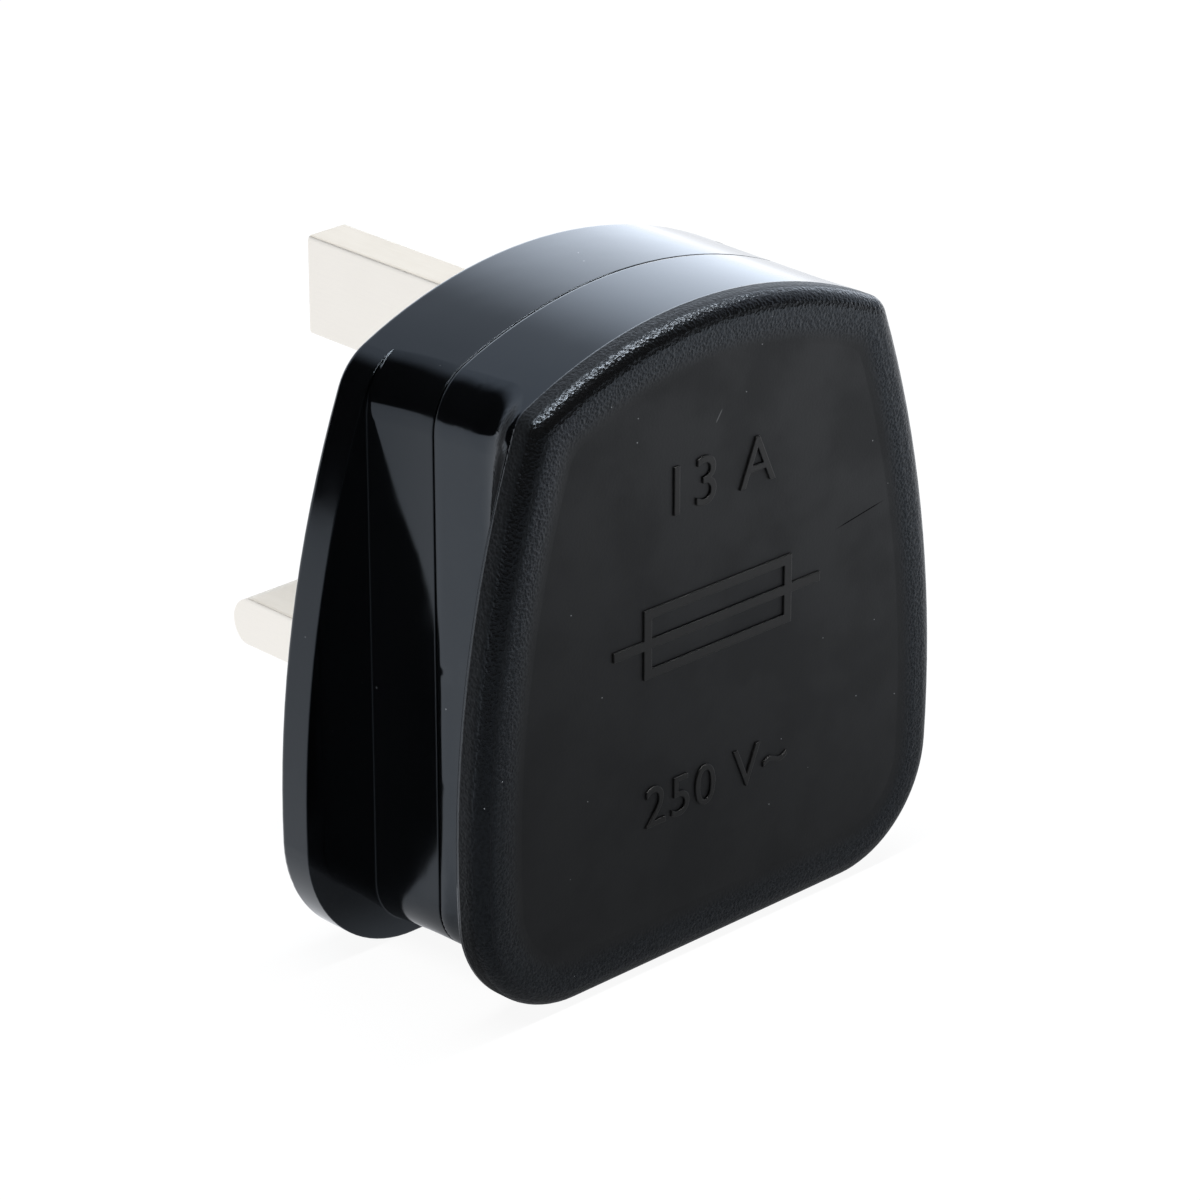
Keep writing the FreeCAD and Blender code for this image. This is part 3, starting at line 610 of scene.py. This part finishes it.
@dataclass(frozen=True)
class ShearedMetalWithPaintedShade(WorkedMetal):
    """Plated metal that is duller on its cut faces: the top, the bottom and the end, whose colour
    is darkened by painted shade.

    Its rounded edges shade as the side that they join, with a slight lean, up to the cut face.
    """

    cut_facing: Span = (0.80, 0.84)
    cut_rough: float = 0.5
    cut_painted_shade: float = 0.30
    lean: float = 0.2

    def worked(
        self, sheet: NodeSheet, normal: Socket, colour: Socket, rough: Socket
    ) -> tuple[Socket, Socket, Socket]:
        """Dull the cut faces and darken their colour with painted shade.

        Args:
            sheet: the metal's node sheet.
            normal: the mesh's normal in the piece's own frame.
            colour: the metal's colour.
            rough: its roughness.

        Returns:
            The colour, the roughness and the normal of the worked piece.
        """
        facing = sheet.add("SeparateXYZ", {0: normal}).outputs
        upright = sheet.math("ABSOLUTE", facing["Z"])
        towards = sheet.math("MAXIMUM", upright, facing["Y"])
        cut = sheet.ramp(towards, *self.cut_facing, 0.0, self.cut_rough)
        flat = sheet.math("GREATER_THAN", upright, self.cut_facing[1])
        rise = sheet.math("MULTIPLY", facing["Z"], sheet.level(flat, self.lean, 1.0))
        shaded = sheet.add("CombineXYZ", {"X": facing["X"], "Y": facing["Y"], "Z": rise})
        turned = sheet.add(
            "VectorTransform",
            {0: shaded.outputs[0]},
            vector_type="NORMAL",
            convert_from="OBJECT",
            convert_to="WORLD",
        )
        # painted shade: the cut faces' colour is darkened to a share of the plating's colour
        painted_shade = sheet.blend(cut, colour, tint(self.colour, self.cut_painted_shade))
        return painted_shade, sheet.math("ADD", rough, cut), turned.outputs[0]


@dataclass(frozen=True)
class DullSolid:
    """Matt solid such as a moulded sleeve, fired ceramic or pressed fibre."""

    name: str
    colour: Colour
    roughness: float = 0.6
    grain: float = 0.2 * MM
    depth: float = 0.02 * MM
    contrast: float = 0.2
    strength: float = 0.4
    grain_span: Span = (0.3, 0.7)
    rough_spread: Span = (0.9, 1.15)

    def material(self) -> bpy.types.Material:
        """Build the finish.

        Returns:
            Its material.
        """
        sheet, material = NodeSheet.of_material(self.name)
        where = sheet.add("TexCoord").outputs["Object"]
        grain = sheet.noise(where, self.grain, detail=4.0, rough=0.6)
        spread = (1 - self.contrast, 1 + self.contrast)
        smooth, coarse = (share * self.roughness for share in self.rough_spread)
        sheet.surface({
            "Base Color": sheet.mottled(grain, self.colour, spread),
            "Roughness": sheet.ramp(grain, *self.grain_span, smooth, coarse),
            "Normal": sheet.bump(grain, self.depth, self.strength),
        })
        return material


def dress(node: str, material: bpy.types.Material) -> None:
    """Give a carried-over node its finish.

    Args:
        node: the node's name.
        material: the finish.
    """
    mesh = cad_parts[node].data
    mesh.materials.clear()
    mesh.materials.append(material)
    log.info("%s: %s", node, material.name)


@dataclass
class Casing:
    """Moulded base and cover."""

    base: str = "base"
    cover: str = "cover"
    rim_thick: float = 2.6 * MM
    panel_sink: float = 0.15 * MM
    face: float = field(init=False)

    def __post_init__(self) -> None:
        """Take the front face's place from the cover."""
        self.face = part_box(self.cover)[0].y

    @property
    def panel(self) -> float:
        """Y of the sunk panel on the front face."""
        return self.face + self.panel_sink

    def dress(self) -> None:
        """Give both mouldings their finish and the face its marking."""
        rim_back = self.face + self.rim_thick
        cover = MouldedCover("cover_moulding", rim_back, self.face, self.panel)
        dress(self.base, MouldedGloss("base_moulding").material())
        dress(self.cover, cover.material())
        RaisedMarking(self.panel).build(MouldedSatin("marking_moulding").material())


class GeometrySheet:
    """Geometry Nodes tree with named inputs, run once to give a plain mesh."""

    def __init__(self, name: str, inputs: dict[str, str]) -> None:
        """Start the tree.

        Args:
            name: the tree's name.
            inputs: socket type of each input, by its name.
        """
        self.tree = bpy.data.node_groups.new(name, "GeometryNodeTree")
        self.identifiers: dict[str, str] = {}
        sockets = self.tree.interface
        sockets.new_socket("Geometry", in_out="OUTPUT", socket_type="NodeSocketGeometry")
        for label, kind in inputs.items():
            socket = sockets.new_socket(label, in_out="INPUT", socket_type="NodeSocket" + kind)
            self.identifiers[label] = socket.identifier
        self.source = self.tree.nodes.new("NodeGroupInput")

    def add(self, kind: str, inputs: dict[str, Any], **settings: Any) -> bpy.types.Node:
        """Add a node.

        Args:
            kind: the node's type without its GeometryNode prefix.
            inputs: values or sockets for its inputs; several sockets go in a list.
            settings: values for its own settings.

        Returns:
            The new node.
        """
        node = self.tree.nodes.new("GeometryNode" + kind)
        for key, value in settings.items():
            setattr(node, key, value)
        for key, value in inputs.items():
            several = value if isinstance(value, list) else [value]
            for one in several:
                if isinstance(one, bpy.types.NodeSocket):
                    self.tree.links.new(one, node.inputs[key])
                else:
                    node.inputs[key].default_value = one
        return node

    def given(self, label: str) -> Socket:
        """Socket of a named input."""
        return self.source.outputs[label]

    def end(self, geometry: Socket, finish: Socket) -> None:
        """End the tree in a real mesh with its material.

        Args:
            geometry: what the tree made.
            finish: the material.
        """
        real = self.add("RealizeInstances", {"Geometry": geometry})
        dressed = self.add("SetMaterial", {"Geometry": real.outputs[0], "Material": finish})
        sink = self.tree.nodes.new("NodeGroupOutput")
        self.tree.links.new(dressed.outputs[0], sink.inputs[0])

    def run(self, name: str, values: dict[str, Any]) -> bpy.types.Object:
        """Run the tree.

        Args:
            name: the new piece's name.
            values: a value for each input, by its name.

        Returns:
            The piece, with a plain mesh at the origin.
        """
        piece = bpy.data.objects.new(name, bpy.data.meshes.new(name + "_seed"))
        bpy.context.scene.collection.objects.link(piece)
        modifier = piece.modifiers.new("tree", "NODES")
        modifier.node_group = self.tree
        for label, value in values.items():
            modifier[self.identifiers[label]] = value
        evaluated = piece.evaluated_get(bpy.context.evaluated_depsgraph_get())
        mesh = bpy.data.meshes.new_from_object(evaluated)
        piece.modifiers.clear()
        piece.data = mesh
        mesh.name = name
        return piece


@dataclass(frozen=True)
class Rating:
    """One raised line of letters, at a height on the face."""

    name: str
    text: str
    size: float
    rise: float


@dataclass
class RaisedMarking:
    """Plain rating and fuse symbol, moulded in low relief on the face's sunk panel."""

    panel: float
    relief: float = 0.14 * MM
    seat: float = 0.05 * MM
    stroke: float = 0.75 * MM
    symbol_width: float = 15.0 * MM
    symbol_height: float = 5.4 * MM
    symbol_lead: float = 3.0 * MM
    symbol_rise: float = 7.6 * MM
    letter_spacing: float = 1.1
    weld: float = 0.001 * MM
    ratings: tuple[Rating, ...] = (
        Rating("current_rating", "13 A", 5.4 * MM, 18.4 * MM),
        Rating("voltage_rating", "250 V~", 4.6 * MM, -5.6 * MM),
    )

    def letter_tree(self) -> GeometrySheet:
        """Build the tree that raises a line of letters.

        Returns:
            The tree.
        """
        inputs = {
            "Text": "String",
            "Size": "Float",
            "Relief": "Float",
            "Place": "Vector",
            "Finish": "Material",
        }
        sheet = GeometrySheet("raised_letters", inputs)
        letters = sheet.add(
            "StringToCurves",
            {
                "String": sheet.given("Text"),
                "Size": sheet.given("Size"),
                "Character Spacing": self.letter_spacing,
            },
            align_x="CENTER",
            align_y="MIDDLE",
        )
        curves = sheet.add("RealizeInstances", {"Geometry": letters.outputs[0]})
        flat = sheet.add("FillCurve", {"Curve": curves.outputs[0]}, mode="NGONS").outputs[0]
        risen = sheet.add(
            "ExtrudeMesh",
            {"Mesh": flat, "Offset Scale": sheet.given("Relief"), "Individual": False},
            mode="FACES",
        )
        foot = sheet.add("FlipFaces", {"Mesh": flat})
        shell = sheet.add("JoinGeometry", {"Geometry": [risen.outputs[0], foot.outputs[0]]})
        welded = {"Geometry": shell.outputs[0], "Distance": self.weld}
        closed = sheet.add("MergeByDistance", welded)
        upright = sheet.add(
            "Transform",
            {
                "Geometry": closed.outputs[0],
                "Translation": sheet.given("Place"),
                "Rotation": (math.pi / 2, 0.0, 0.0),
            },
        )
        sheet.end(upright.outputs[0], sheet.given("Finish"))
        return sheet

    def fuse_symbol(self, material: bpy.types.Material) -> bpy.types.Object:
        """Make the fuse symbol, a box with a line through it, from the filled cells of a grid.

        Args:
            material: its finish.

        Returns:
            The piece.
        """
        half, stroke, low = self.symbol_width / 2, self.stroke, self.symbol_height / 2
        end = half + self.symbol_lead
        across = (-end, -half, stroke - half, half - stroke, half, end)
        up = (-low, stroke - low, -stroke / 2, stroke / 2, low - stroke, low)
        last_row, last_column = len(up) - 2, len(across) - 2
        filled = []
        for row in range(last_row + 1):
            for column in range(last_column + 1):
                on_line = row == last_row // 2
                boxed = 0 < column < last_column
                on_edge = row in (0, last_row) or column in (1, last_column - 1)
                if on_line or (boxed and on_edge):
                    filled.append((column, row))
        shape = bmesh.new()
        foot, top = (
            [[shape.verts.new((x, y, self.symbol_rise + z)) for z in up] for x in across]
            for y in (self.panel + self.seat, self.panel - self.relief)
        )
        for column, row in filled:
            ring = [(column + right, row + above) for right, above in CELL_CORNERS]
            shape.faces.new([top[x][z] for x, z in ring])
            shape.faces.new([foot[x][z] for x, z in reversed(ring)])
            for side, (right, above) in enumerate(CELL_SIDES):
                if (column + right, row + above) not in filled:
                    (x, z), (next_x, next_z) = ring[side], ring[(side + 1) % len(ring)]
                    low_edge = (foot[x][z], foot[next_x][next_z])
                    shape.faces.new((*low_edge, top[next_x][next_z], top[x][z]))
        spare = [vert for vert in shape.verts if not vert.link_faces]
        bmesh.ops.delete(shape, geom=spare, context="VERTS")
        mesh = bpy.data.meshes.new("fuse_symbol")
        shape.to_mesh(mesh)
        shape.free()
        mesh.materials.append(material)
        piece = bpy.data.objects.new("fuse_symbol", mesh)
        bpy.context.scene.collection.objects.link(piece)
        return piece

    def build(self, material: bpy.types.Material) -> None:
        """Make the marking.

        Args:
            material: its finish.
        """
        letters = self.letter_tree()
        pieces = [self.fuse_symbol(material)]
        for rating in self.ratings:
            values = {
                "Text": rating.text,
                "Size": rating.size,
                "Relief": self.relief + self.seat,
                "Place": (0.0, self.panel + self.seat, rating.rise),
                "Finish": material,
            }
            pieces.append(letters.run(rating.name, values))
        for piece in pieces:
            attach(piece, BODY)
            log.info("%s: %d faces", piece.name, len(piece.data.polygons))


@dataclass
class Pins:
    """Plated pins and the sleeves on the two flat ones."""

    plated: tuple[str, ...] = ("earth_pin", "neutral_pin", "live_pin")
    sleeved: tuple[str, ...] = ("neutral_pin_sleeve", "live_pin_sleeve")
    plating: ShearedMetalWithPaintedShade = ShearedMetalWithPaintedShade(
        "pin_plating", (0.94, 0.895, 0.82), 0.36, ToolMarks.ALONG_PIN
    )
    sleeve: DullSolid = DullSolid("pin_sleeve", (0.020, 0.020, 0.022), 0.5)

    def dress(self) -> None:
        """Give the pins their plating and the sleeves their black moulding."""
        for nodes, finish in ((self.plated, self.plating), (self.sleeved, self.sleeve)):
            material = finish.material()
            for node in nodes:
                dress(node, material)


@dataclass
class FuseCarrier:
    """Cartridge fuse with its clips, rivets and the live terminal."""

    tube: str = "fuse_tube"
    wire: str = "fuse_element"
    caps: tuple[str, ...] = ("lower_fuse_cap", "upper_fuse_cap")
    clips: tuple[str, ...] = ("lower_fuse_clip", "upper_fuse_clip")
    contacts: tuple[str, ...] = ("live_terminal", "lower_clip_rivet", "upper_clip_rivet")
    ceramic: DullSolid = DullSolid("fired_ceramic", (0.80, 0.76, 0.68), 0.7, 0.3 * MM)
    tinned: WorkedMetal = WorkedMetal("tinned_wire", (0.76, 0.72, 0.66), 0.35, ToolMarks.UPRIGHT)
    plating: WorkedMetal = WorkedMetal("cap_plating", (0.78, 0.76, 0.71), 0.25, ToolMarks.UPRIGHT)
    bronze: WorkedMetal = WorkedMetal("rolled_bronze", (0.70, 0.47, 0.27), 0.32, ToolMarks.UPRIGHT)
    brass: WorkedMetal = WorkedMetal("machined_brass", BRASS, 0.3, ToolMarks.ALONG_PIN)

    def dress(self) -> None:
        """Give each piece its metal or ceramic."""
        dress(self.tube, self.ceramic.material())
        dress(self.wire, self.tinned.material())
        finishes = (
            (self.caps, self.plating),
            (self.clips, self.bronze),
            (self.contacts, self.brass),
        )
        for nodes, finish in finishes:
            material = finish.material()
            for node in nodes:
                dress(node, material)


@dataclass
class Fastenings:
    """Screws, the threaded insert, the washer and the cord grip."""

    screws: tuple[str, ...] = (
        "cover_screw",
        "earth_terminal_screw",
        "neutral_terminal_screw",
        "live_terminal_screw",
        "cord_grip_screws",
    )
    pressed: tuple[str, ...] = ("cover_screw_washer", "cord_grip_bar")
    insert: str = "cover_insert"
    zinc: WorkedMetal = WorkedMetal("zinc_plate", (0.66, 0.66, 0.64), 0.33, line=0.2 * MM)
    fibre: DullSolid = DullSolid(
        "pressed_fibre", (0.36, 0.13, 0.09), 0.8, 0.5 * MM, 0.03 * MM, 0.35
    )
    brass: WorkedMetal = WorkedMetal("turned_brass", BRASS, 0.28)

    def dress(self) -> None:
        """Give the screws their plating and the rest its brass or fibre."""
        for nodes, finish in ((self.screws, self.zinc), (self.pressed, self.fibre)):
            material = finish.material()
            for node in nodes:
                dress(node, material)
        dress(self.insert, self.brass.material())


@dataclass(frozen=True)
class StripLamp:
    """Soft oblong lamp that faces the origin, with its long side across the plug."""

    name: str
    place: tuple[float, float, float]
    size: Span
    power: float

    def hang(self) -> None:
        """Add the lamp to the scene."""
        lamp = bpy.data.lights.new(self.name, "AREA")
        lamp.shape = "RECTANGLE"
        lamp.size, lamp.size_y = self.size
        lamp.energy = self.power
        piece = bpy.data.objects.new(self.name, lamp)
        back = Vector(self.place).normalized()
        along = (Vector((1.0, 0.0, 0.0)) - back * back.x).normalized()
        turn = Matrix((along, back.cross(along), back)).transposed().to_4x4()
        piece.matrix_world = Matrix.Translation(self.place) @ turn
        bpy.context.scene.collection.objects.link(piece)


@dataclass
class Studio:
    """Pale floor, a bright window behind the plug's right side, a strip overhead and the camera.

    The floor is white to the camera. To polished surfaces it glows as a painted reflection:
    painted shade in front of the plug, from the left to floor_rise, white behind floor_turn, and a
    painted pool of light towards the window.
    """

    aim: Vector = field(default_factory=lambda: Vector((4.325, -2.821, 2.194)) * MM)
    azimuth: float = math.radians(-44.03)
    elevation: float = math.radians(24.03)
    distance: float = 371.6 * MM
    lens: float = 148.58
    sensor: float = 36.0
    nearest: float = 1 * MM
    floor_half: float = 3.0
    floor_colour: Colour = (0.86, 0.87, 0.88)
    floor_cloud: float = 60 * MM
    floor_mottle: Span = (0.99, 1.01)
    floor_glow: float = 0.93
    floor_front_painted_shade: Span = (0.24, 1.05)
    floor_rise: Span = (5 * MM, 115 * MM)
    floor_turn: Span = (-11 * MM, 1 * MM)
    floor_painted_glow: float = 1.6
    floor_reach: Span = (0.06, 0.70)
    floor_tint: Colour = (0.97, 0.99, 1.03)
    gloom: float = 0.012
    sky: float = 0.84
    sky_edge: Span = (0.30, 0.58)
    window: float = 1.8
    window_edge: Span = (0.82, 0.998)
    window_towards: tuple[float, float, float] = (0.74, 0.63, 0.20)
    light_colour: Colour = (0.88, 0.97, 1.10)
    strip: StripLamp = StripLamp("overhead_strip", (0.0, -0.04, 0.78), (1.20, 0.06), 12.6)

    def painted_floor_reflection(self, sheet: NodeSheet, where: Socket) -> Socket:
        """Set the floor's painted reflection: how bright it glows in polished surfaces.

        Args:
            sheet: the floor's node sheet.
            where: coordinates in metres.

        Returns:
            The floor's strength.
        """
        split = sheet.add("SeparateXYZ", {0: where}).outputs
        # painted shade: the floor's reflection is dimmer in front of the plug, from the left to
        # floor_rise
        front = sheet.ramp(split["X"], *self.floor_rise, *self.floor_front_painted_shade)
        near = sheet.level(sheet.ramp(split["Y"], *self.floor_turn), front, 1.0)
        reach = sheet.dot(where, self.window_towards)
        # painted pool of light: the reflection glows brighter towards the window
        return sheet.math("ADD", near, sheet.ramp(reach, *self.floor_reach, 0.0, self.floor_painted_glow))

    def paper(self) -> bpy.types.Material:
        """Make the floor's finish, which keeps the plug's shadow and glows as a painted
        reflection.

        Returns:
            The material.
        """
        sheet, material = NodeSheet.of_material("pale_floor")
        where = sheet.add("TexCoord").outputs["Object"]
        clouds = sheet.noise(where, self.floor_cloud, detail=3.0)
        bare = sheet.mottled(clouds, self.floor_colour, self.floor_mottle)
        diffuse = sheet.add("BsdfDiffuse", {"Color": bare})
        ray = sheet.add("LightPath").outputs
        seen = ray["Is Camera Ray"]
        mirrored = sheet.math("MAXIMUM", ray["Is Glossy Ray"], ray["Is Transmission Ray"])
        # camera rays see a white backdrop; mirror rays see the painted floor reflection
        strength = sheet.level(seen, self.painted_floor_reflection(sheet, where), 1.0)
        cast = sheet.blend(seen, tint(self.floor_tint), WHITE)
        glow = sheet.add("Emission", {"Color": cast, "Strength": strength})
        share = sheet.math("MULTIPLY", sheet.math("MAXIMUM", seen, mirrored), self.floor_glow)
        mixed = sheet.add("MixShader", {0: share, 1: diffuse.outputs[0], 2: glow.outputs[0]})
        sheet.finish(mixed)
        return material

    def lay_floor(self, height: float) -> None:
        """Lay the floor.

        Args:
            height: Z of the floor in metres.
        """
        mesh = bpy.data.meshes.new("floor")
        half = self.floor_half
        corners = [(x * half, y * half, height) for x, y in ((-1, -1), (1, -1), (1, 1), (-1, 1))]
        mesh.from_pydata(corners, [], [(0, 1, 2, 3)])
        mesh.materials.append(self.paper())
        floor = bpy.data.objects.new("floor", mesh)
        bpy.context.scene.collection.objects.link(floor)
        floor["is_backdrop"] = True

    def light(self) -> None:
        """Light the plug from the window and the strip, before white."""
        world = bpy.data.worlds.new("studio")
        world.use_nodes = True
        bpy.context.scene.world = world
        sheet = NodeSheet(world.node_tree)
        towards = sheet.add("TexCoord").outputs["Generated"]
        lean = sheet.dot(towards, tuple(Vector(self.window_towards).normalized()))
        broad = sheet.ramp(lean, *self.sky_edge, self.gloom, self.sky)
        level = sheet.math("ADD", broad, sheet.ramp(lean, *self.window_edge, 0.0, self.window))
        studio = sheet.add("Background", {"Color": tint(self.light_colour), "Strength": level})
        white = sheet.add("Background", {"Color": WHITE, "Strength": 1.0})
        seen = sheet.add("LightPath").outputs["Is Camera Ray"]
        mixed = sheet.add("MixShader", {0: seen, 1: studio.outputs[0], 2: white.outputs[0]})
        output = sheet.add("OutputWorld")
        sheet.tree.links.new(mixed.outputs[0], output.inputs["Surface"])
        self.strip.hang()

    def place_camera(self) -> None:
        """Place the camera at the photograph's angle."""
        data = bpy.data.cameras.new("camera")
        data.lens = self.lens
        data.sensor_width = self.sensor
        data.clip_start = self.nearest
        camera = bpy.data.objects.new("camera", data)
        tilt = Matrix.Rotation(math.pi / 2 - self.elevation, 4, "X")
        turn = Matrix.Rotation(self.azimuth, 4, "Z") @ tilt
        back = turn.to_3x3() @ Vector((0, 0, 1))
        camera.matrix_world = Matrix.Translation(self.aim + back * self.distance) @ turn
        bpy.context.scene.collection.objects.link(camera)
        bpy.context.scene.camera = camera


def main() -> None:
    """Build and dress the plug, light it and lay the floor under it."""
    logging.basicConfig(level=logging.INFO, format="%(name)s: %(message)s")
    bpy.context.scene.view_settings.view_transform = "Standard"
    cad_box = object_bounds()
    for assembly in (Casing(), Pins(), FuseCarrier(), Fastenings()):
        assembly.dress()
    studio = Studio()
    studio.lay_floor(cad_box[0][2])
    studio.light()
    studio.place_camera()


if __name__ == "__main__":
    main()
